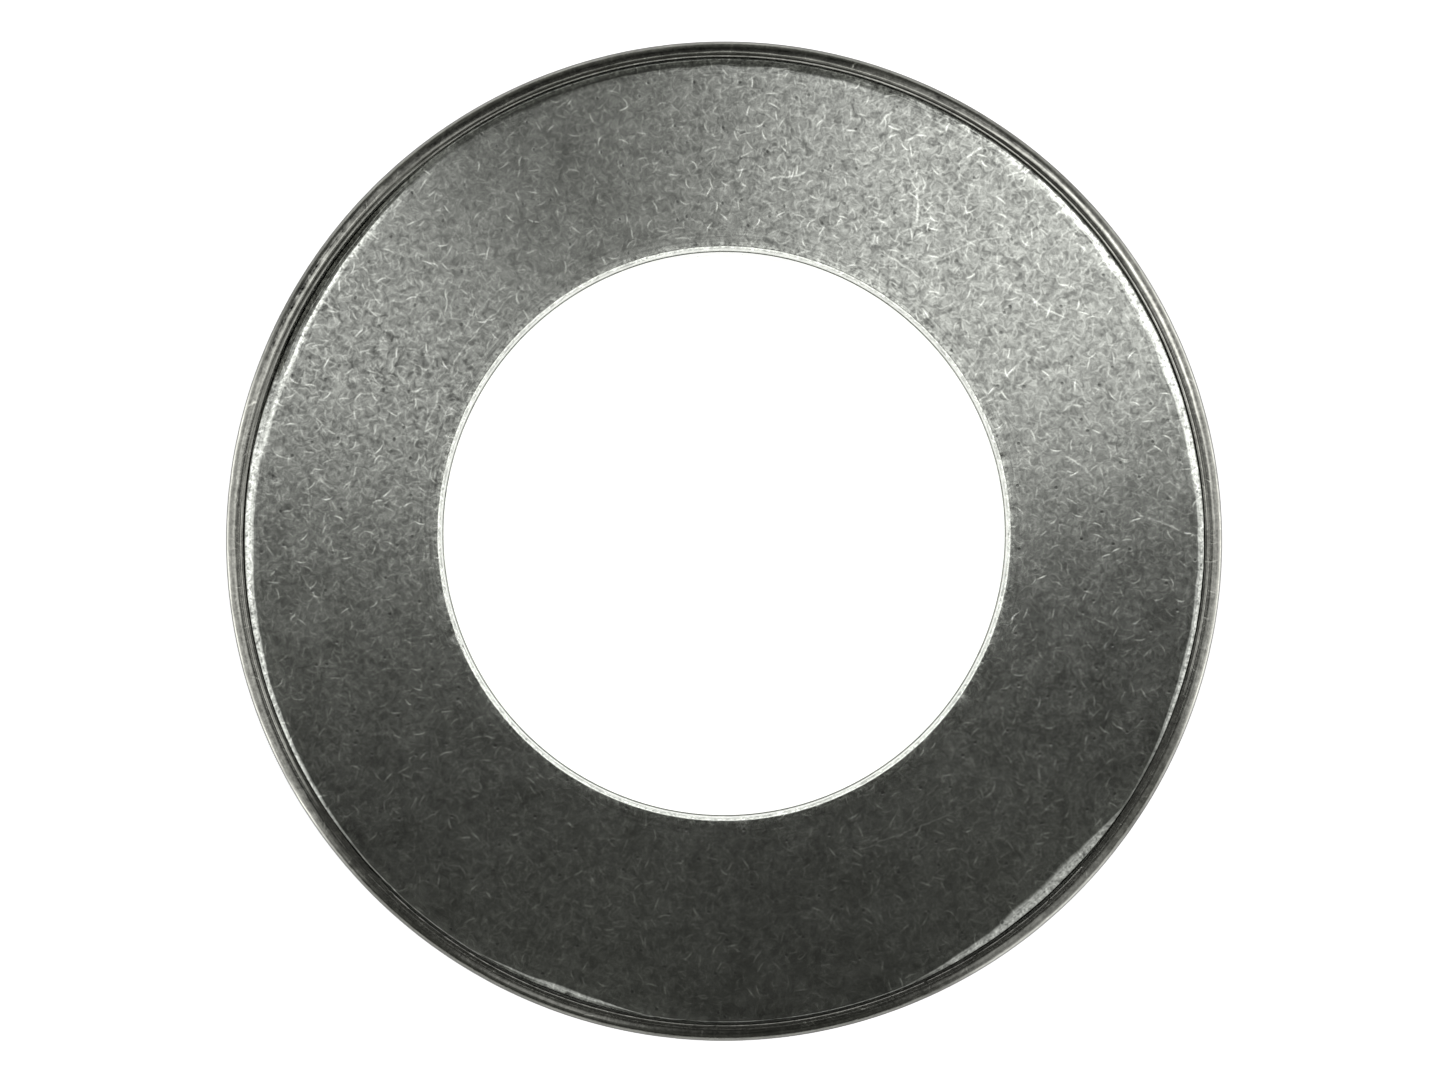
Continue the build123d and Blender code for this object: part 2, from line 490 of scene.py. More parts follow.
# The deeper scratches on the seat face, in mm: x and y of both ends, half width, sideways bow, strength.
DEEP_SCRATCHES = [
    (9.7, 25.3, 10.6, 26.3, 0.08, 0.00, 0.90), (9.1, 23.6, 11.0, 24.9, 0.07, 0.09, 0.70),
    (2.7, 21.8, 5.3, 22.4, 0.08, 0.06, 0.80), (12.1, 21.1, 12.1, 19.1, 0.09, 0.06, 0.90),
    (11.7, 22.1, 12.3, 21.0, 0.07, -0.10, 0.60), (12.5, 22.2, 12.1, 21.0, 0.07, 0.30, 0.70),
    (19.0, 14.5, 21.4, 13.1, 0.09, -0.12, 0.80), (17.4, 9.3, 19.2, 10.9, 0.08, 0.12, 0.60),
    (21.0, 4.7, 22.9, 3.1, 0.09, 0.12, 1.00), (25.4, 1.0, 29.2, -0.5, 0.08, 0.06, 1.00),
    (9.6, 17.5, 11.8, 15.9, 0.08, 0.05, 0.60), (11.2, 16.4, 13.6, 14.5, 0.07, 0.07, 0.50),
    (15.2, 23.2, 16.2, 24.0, 0.09, 0.00, 0.95), (20.5, 19.3, 21.3, 20.1, 0.09, 0.00, 0.90),
    (17.8, 22.2, 18.8, 22.5, 0.08, 0.00, 0.70), (13.4, 17.0, 18.1, 18.3, 0.07, 0.30, 0.45),
    (-25.0, 14.2, -24.0, 13.5, 0.08, 0.00, 0.80), (-17.2, 9.7, -12.3, 15.3, 0.06, 0.37, 0.70),
    (-18.6, 5.8, -17.3, 9.3, 0.07, 0.09, 0.50), (-16.7, 11.8, -13.3, 15.6, 0.06, 0.16, 0.40),
    (-10.6, 26.4, -9.7, 27.1, 0.08, 0.00, 0.90), (-14.4, 25.9, -13.5, 25.2, 0.07, 0.00, 0.80),
    (-5.3, 22.7, -4.1, 23.0, 0.07, 0.05, 0.60), (-1.2, 23.7, -0.4, 24.0, 0.09, 0.00, 0.80),
    (-3.1, 18.2, -1.7, 18.4, 0.09, -0.09, 0.90), (-25.3, 3.2, -23.9, 2.3, 0.10, 0.00, 0.90),
    (-25.8, 3.1, -25.5, 0.0, 0.06, 0.00, 0.40), (-25.9, -3.2, -24.7, -5.0, 0.08, 0.12, 0.70),
    (7.8, -19.6, 14.0, -17.2, 0.07, 0.00, 0.70), (13.6, -17.3, 16.3, -15.6, 0.07, -0.15, 0.50),
    (19.4, -18.6, 19.8, -18.8, 0.08, 0.00, 0.80), (18.2, -20.3, 18.8, -20.4, 0.07, 0.00, 0.60),
    (-23.2, -17.5, -21.8, -16.6, 0.07, 0.00, 0.70), (-12.7, -21.7, -11.0, -23.5, 0.07, 0.00, 0.40),
]
# The same for the band: nicks across its upper lip.
BAND_NICKS = [
    (-29.1, 8.05, -29.95, 7.55, 0.10, 0.00, 1.00), (-7.7, -29.4, -8.6, -29.2, 0.05, 0.00, 0.60),
    (28.9, 9.5, 29.6, 9.0, 0.06, 0.05, 0.60), (30.0, 2.2, 29.4, 3.2, 0.07, 0.00, 0.70),
    (8.1, 29.1, 8.4, 29.5, 0.07, 0.00, 0.60),
]


def wobbly(n, where):
    """The map shifted a little to and fro, so that long scratches aren't ruled lines."""
    wobble = n.add("ShaderNodeTexNoise", noise_dimensions="3D")
    n.put(wobble.inputs["Vector"], where)
    n.put(wobble.inputs["Scale"], 1.1)
    middle = (-WOBBLE / 2, -WOBBLE / 2, 0)
    shift = n.vector("MULTIPLY_ADD", wobble.outputs["Color"], (WOBBLE, WOBBLE, 0), middle)
    return n.vector("ADD", where, shift)


def deep_marks(n, where, strokes):
    """The deeper scratches added up, each 0 to its strength, wobbling a little and broken in places."""
    total = None
    shifted = wobbly(n, where)
    for x0, y0, x1, y1, width, bow, strength in strokes:
        span = math.hypot(x1 - x0, y1 - y0)
        along = Vector((x1 - x0, y1 - y0, 0)) / span
        mark = n.group(STROKE, Vector=shifted, Start=(x0, y0, 0), Along=along / span,
                       Across=(-along.y, along.x, 0), Width=width * STROKE_SOFTNESS, Bow=bow)
        mark = n.times(mark, strength)
        total = mark if total is None else n.plus(total, mark)
    broken = n.remap(n.noise(where, scale=2.2, detail=2.0, rough=0.5), 0.38, 0.58, 0.30, 1.0)
    return n.times(total, broken)


def add_marks(n, where, layers, seed):
    """The layers of small scratches added up."""
    rng = random.Random(seed)
    total = None
    for cells, length, width, bend, share, strength in layers:
        offset = (rng.uniform(-90, 90), rng.uniform(-90, 90), 0)
        mark = n.group(SCRATCHES, Vector=where, Scale=cells, Offset=offset, Length=length, Width=width,
                       Bend=bend, Share=share)
        mark = n.times(mark, strength)
        total = mark if total is None else n.plus(total, mark)
    return total


def new_material(name):
    """A material with an empty tree, its Principled shader and the helper."""
    material = bpy.data.materials.new(name)
    material.use_nodes = True
    material.node_tree.nodes.clear()
    n = Nodes(material.node_tree)
    shader = n.add("ShaderNodeBsdfPrincipled")
    n.put(n.add("ShaderNodeOutputMaterial").inputs["Surface"], shader.outputs[0])
    n.put(shader.inputs["Metallic"], 1.0)
    return material, n, shader


def attribute(n, key):
    """The outputs of a mesh attribute that lathe() stored."""
    return n.add("ShaderNodeAttribute", attribute_type="GEOMETRY", attribute_name=key).outputs


def uprightness(n):
    """0 on level faces, 1 on upright walls."""
    level = n.split(n.add("ShaderNodeNewGeometry").outputs["True Normal"])[2]
    return n.minus(1.0, n.math("ABSOLUTE", level))


def tumbled_steel(name, seed, deep=False):
    """Dull tumbled steel: curly scratches, small pits, soft mottling and edges worn bright; the marks are
    painted stronger where the light falls brighter.
    """
    material, n, shader = new_material(name)
    where = attribute(n, "surf")["Vector"]
    turn = attribute(n, "lathe")["Vector"]
    wear_and_painted_light = attribute(n, "wear_and_painted_light")["Fac"]
    fine = add_marks(n, where, FINE_MARKS, seed)
    medium = add_marks(n, where, MEDIUM_MARKS, seed + 1)
    cloud = n.noise(where, scale=0.45, detail=3.0, rough=0.55)
    mottle = n.noise(where, scale=2.0, detail=3.0, rough=0.60, distortion=1.1)
    grain = n.noise(where, scale=5.0, detail=2.0, rough=0.6)
    blotch = n.noise(where, scale=4.2, detail=2.0, rough=0.6)
    ragged = n.noise(where, scale=1.4, detail=3.0, rough=0.7)
    arcs = n.noise(n.vector("MULTIPLY", turn, (34.0, 7.0, 1.0)), scale=1.0, detail=3.0, rough=0.65)
    pit = n.remap(n.cells(where, PIT_CELLS)["Distance"], *PIT_EDGE, 1.0, 0.0, smooth=True)
    # Worn edges, together with the painted highlight line that the stored wear also carries.
    painted_light_and_wear = n.remap(n.plus(wear_and_painted_light, n.times(ragged, 0.7)), 0.75, 1.15, 0.0, 1.0, smooth=True)
    radius = n.vector("LENGTH", where)
    near_rims = n.plus(n.remap(radius, *OUTER_ARCS, 0.0, 1.0), n.remap(radius, *INNER_ARCS, 0.0, 1.0))

    # The marks and the mottling, painted stronger at the azimuths where the light falls brighter, then wear
    # with a painted highlight line, and pits.
    bright = n.plus(n.times(fine, FINE_STRENGTH), n.times(medium, MEDIUM_STRENGTH))
    if deep:
        bright = n.plus(bright, n.times(deep_marks(n, where, DEEP_SCRATCHES), DEEP_STRENGTH))
    base = n.plus(n.spread(mottle, 0.41, 1.09), n.spread(grain, -0.08, 0.08))
    base = n.plus(base, n.spread(cloud, -0.06, 0.06))
    base = n.plus(base, n.times(near_rims, n.spread(arcs, -0.22, 0.26)))
    x, y, _ = n.split(where)
    on_faces = n.remap(uprightness(n), 0.4, 0.8, 1.0, WALL_SHARE)
    # Painted sheen: the marks and mottling show stronger where the light falls brighter.
    marks_by_light_share = n.times(n.around(x, y, MARKS_BY_LIGHT), on_faces)
    level = n.times(n.minus(n.plus(base, bright), MEAN_LEVEL), marks_by_light_share)
    level = n.plus(level, MEAN_LEVEL)
    level = n.plus(level, n.times(painted_light_and_wear, n.spread(blotch, -0.30, 0.72)))
    level = n.times(level, n.minus(1.0, n.times(pit, 0.5)))
    n.put(shader.inputs["Base Color"], n.tinted(level, TUMBLED_TONE))
    n.put(shader.inputs["Roughness"], n.spread(cloud, 0.17, 0.20))

    # Heights in mm.
    height = n.plus(n.times(mottle, 0.0032), n.times(grain, 0.0008))
    height = n.times(height, marks_by_light_share)
    height = n.minus(height, n.times(medium, 0.0022))
    height = n.minus(height, n.times(pit, 0.004))
    n.put(shader.inputs["Normal"], n.bump(height, strength=1.0, distance=MM))
    return material


def rolled_band(name, seed):
    """Thin rolled sheet: rings along the sheet, painted highlights and shade in patchy streaks, a few nicks
    and scratches.
    """
    material, n, shader = new_material(name)
    where = attribute(n, "surf")["Vector"]
    turn = attribute(n, "lathe")["Vector"]
    wear_and_painted_light = attribute(n, "wear_and_painted_light")["Fac"]
    lines = n.noise(n.vector("MULTIPLY", turn, (22.0, 6.5, 1.0)), scale=1.0, detail=4.0, rough=0.62)
    fine_lines = n.noise(n.vector("MULTIPLY", turn, (40.0, 24.0, 1.0)), scale=1.0, detail=2.0, rough=0.6)
    patches = n.noise(n.vector("MULTIPLY", turn, (48.0, 1.6, 1.0)), scale=1.0, detail=3.0, rough=0.7)
    grain = n.noise(where, scale=5.0, detail=3.0, rough=0.6)
    cloud = n.noise(where, scale=1.5, detail=3.0, rough=0.65)
    marks = add_marks(n, where, BAND_MARKS, seed)
    nicks = deep_marks(n, where, BAND_NICKS)
    level = n.plus(n.spread(lines, 0.70, 1.20), n.spread(fine_lines, -0.10, 0.10))
    mottle = n.plus(n.spread(grain, -0.22, 0.22), n.spread(cloud, -0.28, 0.30))
    level = n.plus(level, n.times(mottle, n.remap(uprightness(n), 0.2, 0.9, 1.0, 0.4)))
    # Painted highlights and shade on the lip and the bend, broken into patchy streaks.
    painted_light_and_wear = n.times(wear_and_painted_light, n.remap(patches, 0.36, 0.62, 0.35, 1.25))
    level = n.plus(level, n.times(painted_light_and_wear, PAINTED_LIGHT_STRENGTH))
    level = n.plus(level, n.plus(n.times(marks, 0.35), n.times(nicks, NICK_STRENGTH)))
    n.put(shader.inputs["Base Color"], n.tinted(level, BAND_TONE))
    n.put(shader.inputs["Roughness"], n.plus(n.spread(grain, 0.15, 0.20), n.times(lines, 0.03)))

    # Heights in mm.
    height = n.plus(n.times(lines, 0.0030), n.times(fine_lines, 0.0006))
    height = n.plus(height, n.times(grain, 0.0022))
    height = n.minus(height, n.times(marks, 0.0030))
    height = n.minus(height, n.times(nicks, 0.010))
    n.put(shader.inputs["Normal"], n.bump(height, strength=1.0, distance=MM))
    return material


def hidden_steel(name, tone, roughness, grain_cells, darkest, bump_strength):
    """Steel of the pieces inside, mapped by the object's own coordinates."""
    material, n, shader = new_material(name)
    where = n.scaled(n.add("ShaderNodeTexCoord").outputs["Object"], 1 / MM)
    grain = n.noise(where, scale=grain_cells, detail=3.0, rough=0.6)
    cloud = n.noise(where, scale=0.5, detail=2.0, rough=0.5)
    level = n.plus(n.spread(grain, darkest, 1.04), n.spread(cloud, -0.05, 0.05))
    n.put(shader.inputs["Base Color"], n.tinted(level, tone))
    n.put(shader.inputs["Roughness"], n.spread(grain, roughness - 0.04, roughness + 0.05))
    n.put(shader.inputs["Normal"], n.bump(grain, bump_strength, 0.01 * MM))
    return material


# -------- the shaft washer

# Width of the shoulder by azimuth, as a share of its full width: tumbling wore it unevenly.
SHOULDER_SHARE = [
    (0, 0.52), (10, 0.72), (20, 0.78), (40, 0.74), (52, 0.58), (62, 0.72), (90, 0.66), (134, 0.66),
    (142, 0.78), (152, 0.85), (165, 0.88), (178, 0.85), (188, 0.66), (198, 0.42), (212, 0.30), (222, 0.15),
    (239, 0.10), (245, 0.34), (250, 0.56), (255, 0.42), (261, 0.10), (292, 0.10), (299, 0.45), (307, 0.85),
    (315, 1.00), (320, 0.72), (325, 0.15), (332, 0.18), (339, 0.42), (350, 0.48),
]
# Where the shoulder is worn to a crisp slope with a steeper one outside it, by azimuth as a share.
STEEP_SHARE = [(0, 0.0), (126, 0.0), (139, 1.0), (160, 1.0), (172, 0.0)]
# By radius: the extra depth of that slope in mm and a painted highlight line along it, then the wear of the
# shoulder and of the bore's edge.
STEEP_DROP = [(28.74, 0.0), (29.05, 0.075), (29.50, 0.30), (29.70, 0.34)]
STEEP_HIGHLIGHT_LINE = [(28.70, 0.0), (28.75, 1.0), (29.02, 1.0), (29.10, 0.0)]
SHOULDER_WORN = [(28.75, 0.0), (29.45, 1.0)]
BORE_WORN = [(17.75, 1.0), (18.15, 0.0)]
# Rows of points by radius that keep the middle of the seat face flat.
FACE_ROWS = [28.5, 28.2, 18.6, 18.3]

LEDGE = 0.04              # depth of the fine ledge in the bore
LEDGE_DROP = 1.15         # from the seat face down to that ledge
RAGGED = 0.12             # unevenness of the shoulder's width, as shares of it, in two sizes
JAGGED = 0.06
STEEP_CALM = 0.6          # the share of it that the steep stretch lacks
BLEND_REACH = 0.35        # the blend starts this far inside the shoulder
LIFT_DEPTH = 0.30         # a narrow shoulder is lifted in step with its depth, as far as this depth
LIFT_SHARE = 0.7          # and by this share of it
STEEP_DEPTH = 0.45        # the steep slope is cut in what lies less than this under the seat face
HIGHLIGHT_LINE_DEPTH = 0.2          # and its painted highlight line in what lies less than this under it
SHAPED_ABOVE_RIM = 0.3    # the shoulder is shaped from this height above the rim
WORN_ABOVE_RIM = 0.2      # and worn from this one
CHAMFER_UNWORN = 0.05     # height of the chamfer's foot, which isn't worn
EDGE_REACH = 0.75         # dents of the outer edge fade out at this distance
EDGE_WORN_OFF = 0.008     # mm worn off that edge besides the dents
EDGE_CUT = 0.6            # a dent moves the edge inwards and down by this share of its depth
BORE_REACH = 0.45         # the same three at the bore's edge, where the shares differ
BORE_WORN_OFF = 0.006
BORE_CUT_OUT = 0.5
BORE_CUT_DOWN = 0.7


def make_shaft_washer():
    """The upper washer, with its uneven shoulder, worn edges, a painted highlight line on the shoulder and
    ball groove underneath.
    """
    groove_bottom = BALL_Z + BALL_R + RACE_GAP
    corners = [
        (RIM_R, UNDER_Z, 0.15),
        (RIM_R, RIM_Z, 0.15),
        (FACE_R, RIM_Z, 0.05),
        (FACE_R, HEIGHT - SHOULDER_DROP, 0.22),
        (FACE_R - SHOULDER_W, HEIGHT, 2.0),
        *[(row_r, HEIGHT, 0.0) for row_r in FACE_ROWS],
        (SHAFT_R + CHAMFER_W, HEIGHT, 0.03),
        (SHAFT_R + LEDGE, HEIGHT - CHAMFER_H, 0.02),
        (SHAFT_R + LEDGE, HEIGHT - LEDGE_DROP, 0.0),
        (SHAFT_R, HEIGHT - LEDGE_DROP - 0.005, 0.0),
        (SHAFT_R, HEIGHT - LEDGE_DROP - 0.05, 0.0),
        (SHAFT_R, UNDER_Z + CHAMFER_H, 0.04),
        (SHAFT_R + CHAMFER_W, UNDER_Z, 0.04),
    ]
    outline = rounded(corners)
    outline += list(reversed(groove(groove_bottom - GROOVE_R, UNDER_Z)))
    edge = dents(seed=11, count=70, width=(0.10, 0.45), depth=(0.01, 0.05))
    bore_edge = dents(seed=12, count=70, width=(0.08, 0.40), depth=(0.005, 0.05))
    slow = waves(seed=13, low=3, high=17, count=9)
    ragged = waves(seed=14, low=25, high=70, count=12)
    jagged = waves(seed=15, low=60, high=130, count=14)
    share = by_azimuth(SHOULDER_SHARE)
    steep = by_azimuth(STEEP_SHARE)
    steep_drop = by_radius(STEEP_DROP)
    steep_highlight_line = by_radius(STEEP_HIGHLIGHT_LINE)
    shoulder_worn = by_radius(SHOULDER_WORN)
    bore_worn = by_radius(BORE_WORN)

    def move(theta, r, z):
        uneven = RAGGED * ragged(theta) + JAGGED * jagged(theta)
        wide = share(theta) * (1 + uneven * (1 - STEEP_CALM * steep(theta)))
        on_shoulder = (r > FACE_R - SHOULDER_W - BLEND_REACH) & (z > RIM_Z + SHAPED_ABOVE_RIM)
        reach = np.where(on_shoulder, (FACE_R - r) * (1 - wide), 0)
        lift = np.minimum(HEIGHT - z, LIFT_DEPTH) * LIFT_SHARE * (1 - np.clip(wide, 0, 1))
        lift = np.where(on_shoulder, lift, 0)
        lift = lift - steep(theta) * steep_drop(r) * on_shoulder * (z > HEIGHT - STEEP_DEPTH)
        near_edge = nearness(r, z, FACE_R, HEIGHT, EDGE_REACH)
        near_bore = nearness(r, z, SHAFT_R, HEIGHT, BORE_REACH)
        out = near_edge * (edge(theta, FACE_R) + EDGE_WORN_OFF * (1 + slow(theta)))
        hole = near_bore * (bore_edge(theta, SHAFT_R) + BORE_WORN_OFF * (1 + slow(theta + 1)))
        shift_r = reach - out * EDGE_CUT + hole * BORE_CUT_OUT
        shift_z = lift - out * EDGE_CUT - hole * BORE_CUT_DOWN
        return shift_r, shift_z

    def wear_and_painted_light(theta, r, z):
        worn_share = np.clip(share(theta) * 3 - 0.2, 0.1, 1)
        shoulder = shoulder_worn(r) * (z > RIM_Z + WORN_ABOVE_RIM) * worn_share
        bore = bore_worn(r) * (z > HEIGHT - CHAMFER_H + CHAMFER_UNWORN)
        # A painted highlight line along the steep slope of the shoulder.
        line = steep_highlight_line(r) * steep(theta) * (z > HEIGHT - HIGHLIGHT_LINE_DEPTH)
        return np.maximum(np.maximum(shoulder, line), bore)
    return lathe("shaft_washer_ring", outline, TOP_SEGMENTS, move, wear_and_painted_light)


# -------- the housing washer

LOW_EDGE_REACH = 0.5      # dents of its outer edge fade out at this distance
LOW_CUT_IN = 0.6          # a dent moves the edge by these shares of its depth
LOW_CUT_UP = 0.7


def make_housing_washer():
    """The lower washer, with its ball groove on top."""
    groove_bottom = BALL_Z - BALL_R - RACE_GAP
    top_z = low_high.z / MM
    step_z = BAND_LOW + BAND_T
    corners = [
        (HOUSING_BORE_R + CHAMFER_W, top_z, 0.04),
        (HOUSING_BORE_R, top_z - CHAMFER_H, 0.04),
        (HOUSING_BORE_R, CHAMFER_H, 0.04),
        (HOUSING_BORE_R + CHAMFER_W, 0, 0.04),
        (LOW_FACE_R, 0, 0.30),
        (LOW_FACE_R, step_z, 0.0),
        (BAND_IN_R, step_z, 0.0),
        (BAND_IN_R, top_z, 0.0),
    ]
    outline = rounded(corners)
    outline += groove(groove_bottom + GROOVE_R, top_z)
    edge = dents(seed=31, count=90, width=(0.08, 0.45), depth=(0.01, 0.07))

    def move(theta, r, z):
        out = nearness(r, z, LOW_FACE_R, 0, LOW_EDGE_REACH) * edge(theta, LOW_FACE_R)
        return -out * LOW_CUT_IN, out * LOW_CUT_UP
    return lathe("housing_washer_ring", outline, LOW_SEGMENTS, move)


# -------- the band

# The upper lip's section from the bend inwards: a rolled step, a fine groove and a narrow strip at the edge.
# Each point is its radius and its depth under the band's top, in mm.
LIP_PROFILE = [
    (30.15, 0.001), (30.13, 0.006), (30.10, 0.030), (30.05, 0.034), (30.03, 0.040),
    (30.02, 0.22), (29.97, 0.22),
    (29.96, 0.045), (29.94, 0.040),
]
LIP_SHAPED_R = 30.14      # the lip's section is shaped inside this radius
STEP_R = 30.12            # its rolled step lies inside this one
GROOVE_OUT_R = 30.025     # and its groove between these two
STRIP_R = 29.965
CLOSING_R = 29.95         # what lies inside this closes in on the washer
LIP_DEPTH = 0.3           # the lip's shapes are less than this under the band's top
UPPER_DEPTH = 0.9         # the whole upper lip is less than this
FLAT_DEPTH = 0.06         # the flat parts of its section less than this
GROOVE_DEPTH = 0.1        # and the groove's floor more than this
HIGHLIGHT_DEPTH = 0.15         # the painted highlights on the crest and strip are less than this under the top
PAINTED_BEND_DEPTH = 0.75         # and the painted highlight on the bend's edge and the painted shade on its rim less than this
FILLED_DEPTH = 0.004      # on the smooth side the flat parts rise to this depth
GROOVE_FILLED = 0.005     # and the groove's floor to this one
CREST_MOVED_R = 30.32     # the crest that wanders lies here, and reaches this far to both sides
CREST_REACH = 0.25
WANDER = 0.03             # mm that it wanders
CREST_INWARD = 0.10       # mm that it lies further in along the upper side
CREST_HIGHLIGHT_HALF_W = 0.07       # half width of the painted highlight on the crest
UNEVEN = 0.004            # mm that the lip is uneven
LEAST_UNEVEN = 0.15       # share of it that the smooth side keeps
CLOSING = 0.06            # mm that the edge closes in at most
BAND_EDGE_REACH = 0.8     # dents of the outer edge fade out at this distance
BAND_WORN_OFF = 0.012     # mm worn off that edge besides the dents
BAND_CUT = 0.55           # a dent moves the edge inwards and down by this share of its depth

# Along the lip's edge, by azimuth: how deep its fine inner strip is pressed in, in mm, and how far the
# edge closes in on the washer, as a share.
LIP_STRIP_SINK = [(0, 0.0), (115, 0.0), (128, 0.20), (168, 0.20), (180, 0.0), (350, 0.0)]
LIP_CLOSE_IN = [
    (0, 1.0), (14, 0.8), (26, 0.0), (168, 0.0), (182, 1.0), (216, 1.0), (230, -0.7), (314, -0.7), (328, 1.0),
]
# Share of the lip's rolled step and of its fine groove by azimuth, which also scales the painted highlight on
# its crest and inner strip; the lower side is smooth.
LIP_STEP = [(0, 0.2), (14, 0.5), (26, 1.0), (150, 1.0), (168, 0.4), (190, 0.2), (215, 0.0), (340, 0.0)]
# Radius in mm of the painted highlight on the lip's crest by azimuth, and where the crest's shape lies
# further in, as a share.
CREST_HIGHLIGHT_R = [(0, 30.32), (46, 30.30), (60, 30.17), (160, 30.17), (180, 30.28)]
CREST_IN = [(0, 0.0), (46, 0.0), (60, 1.0), (160, 1.0), (175, 0.0)]
# Share of the painted shade on the bend by azimuth, and of the painted highlight on the bend's edge.
BEND_SHADE_SHARE = [
    (0, 0.3), (30, 0.5), (45, 1.0), (62, 0.9), (80, 0.5), (128, 0.5), (138, 1.0), (156, 1.0), (170, 0.3),
    (215, 0.0), (345, 0.0),
]
CORNER_HIGHLIGHT_SHARE = [
    (0, 1.0), (34, 1.0), (44, 0.25), (70, 0.50), (140, 0.50), (154, 0.25), (162, 1.0), (214, 1.0),
    (224, 0.25), (250, 0.50), (280, 0.40), (296, 0.25), (302, 0.9), (318, 0.9), (326, 0.25), (336, 0.9),
]
# The same painted shade and highlight by radius, then the painted shade on the outermost rim and the painted
# highlight on the lip's inner strip.
BEND_SHADE = [(30.30, 0.0), (30.42, -0.55), (30.66, -0.55), (30.74, 0.0)]
CORNER_HIGHLIGHT = [(30.62, 0.0), (30.70, 1.0), (30.80, 1.0), (30.86, 0.0)]
RIM_SHADE = [(30.86, 0.0), (30.92, -0.50)]
STRIP_HIGHLIGHT = [(29.955, 0.7), (29.96, 0.0)]


def make_band():
    """The thin sleeve, with its rolled upper lip, and painted highlights and shade on the lip and the bend.
    """
    corners = [
        (OUTER_R, BAND_LOW, BEND_R - 0.01),
        (OUTER_R, BAND_TOP, BEND_R - 0.01),
        (OUTER_R - BEND_R, BAND_TOP, 0.0),
        *[(lip_r, BAND_TOP - depth, 0.0) for lip_r, depth in LIP_PROFILE],
        (LIP_R, BAND_TOP - 0.050, 0.03),
        (LIP_R, BAND_TOP - BAND_T, 0.12),
        (BAND_IN_R, BAND_TOP - BAND_T, 0.05),
        (BAND_IN_R, BAND_LOW + BAND_T, 0.0),
        (LOW_FACE_R, BAND_LOW + BAND_T, 0.0),
        (LOW_FACE_R, BAND_LOW + LIP_SAG, 0.12),
        (OUTER_R - BEND_R, BAND_LOW, 0.0),
    ]
    outline = rounded(corners, BAND_STEP_DEG)
    edge = dents(seed=41, count=120, width=(0.08, 0.5), depth=(0.005, 0.05))
    slow = waves(seed=42, low=2, high=13, count=9)
    quick = waves(seed=43, low=30, high=90, count=14)
    strip_sink = by_azimuth(LIP_STRIP_SINK)
    close_in = by_azimuth(LIP_CLOSE_IN)
    step = by_azimuth(LIP_STEP)
    crest_highlight_r = by_azimuth(CREST_HIGHLIGHT_R)
    crest_in = by_azimuth(CREST_IN)
    bend_shade_share = by_azimuth(BEND_SHADE_SHARE)
    corner_highlight_share = by_azimuth(CORNER_HIGHLIGHT_SHARE)
    bend_shade = by_radius(BEND_SHADE)
    corner_highlight = by_radius(CORNER_HIGHLIGHT)
    rim_shade = by_radius(RIM_SHADE)
    strip_highlight = by_radius(STRIP_HIGHLIGHT)

    def move(theta, r, z):
        near_top = z > BAND_TOP - LIP_DEPTH
        near_edge = nearness(r, z, OUTER_R, BAND_TOP, BAND_EDGE_REACH)
        out = near_edge * (edge(theta, OUTER_R) + BAND_WORN_OFF * (1 + slow(theta)))
        uneven = UNEVEN * (2 + slow(theta + 2) + 0.5 * quick(theta))
        sink = ((r < STEP_R) & near_top) * uneven * np.maximum(step(theta), LEAST_UNEVEN)
        sink = sink + ((r < STRIP_R) & near_top) * strip_sink(theta)
        in_groove = (r < GROOVE_OUT_R) & (r > STRIP_R) & (z < BAND_TOP - GROOVE_DEPTH) & near_top
        on_flat = (r < LIP_SHAPED_R) & (z > BAND_TOP - FLAT_DEPTH)
        fill = in_groove * (BAND_TOP - GROOVE_FILLED - z) + on_flat * (BAND_TOP - FILLED_DEPTH - z)
        fill = (1 - step(theta)) * fill
        on_crest = np.clip(1 - np.abs(r - CREST_MOVED_R) / CREST_REACH, 0, 1) * near_top
        wander = on_crest * (WANDER * quick(theta) - CREST_INWARD * crest_in(theta))
        inner = (r < CLOSING_R) * (z > BAND_TOP - UPPER_DEPTH) * CLOSING * close_in(theta)
        shift_r = -out * BAND_CUT - inner + wander
        shift_z = -out * BAND_CUT - sink + fill
        return shift_r, shift_z

    # Painted highlights on the lip's crest, its inner strip and the bend's edge; painted shade on the bend
    # and the outermost rim where there is no highlight.
    def wear_and_painted_light(theta, r, z):
        on_top = z > BAND_TOP - UPPER_DEPTH
        on_bend = z > BAND_TOP - PAINTED_BEND_DEPTH
        crest_highlight = np.clip(1.5 - np.abs(r - crest_highlight_r(theta)) / CREST_HIGHLIGHT_HALF_W, 0, 1)
        lip = np.maximum(crest_highlight, strip_highlight(r)) * step(theta) * (z > BAND_TOP - HIGHLIGHT_DEPTH)
        corner = corner_highlight(r) * on_bend * corner_highlight_share(theta)
        bright = np.maximum(lip, corner) * on_top
        painted_shade = bend_shade(r) * bend_shade_share(theta) + rim_shade(r) * on_bend
        return bright + painted_shade * on_top * (bright <= 0)
    return lathe("outer_band_sleeve", outline, TOP_SEGMENTS, move, wear_and_painted_light)


# -------- placing the pieces

REMADE = ("shaft_washer", "housing_washer", "outer_band")


def place_piece(piece, body, node, material):
    """Put a new piece on its body in place of the CAD's own mesh."""
    piece.data.materials.append(material)
    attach(piece, body)
    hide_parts(node)


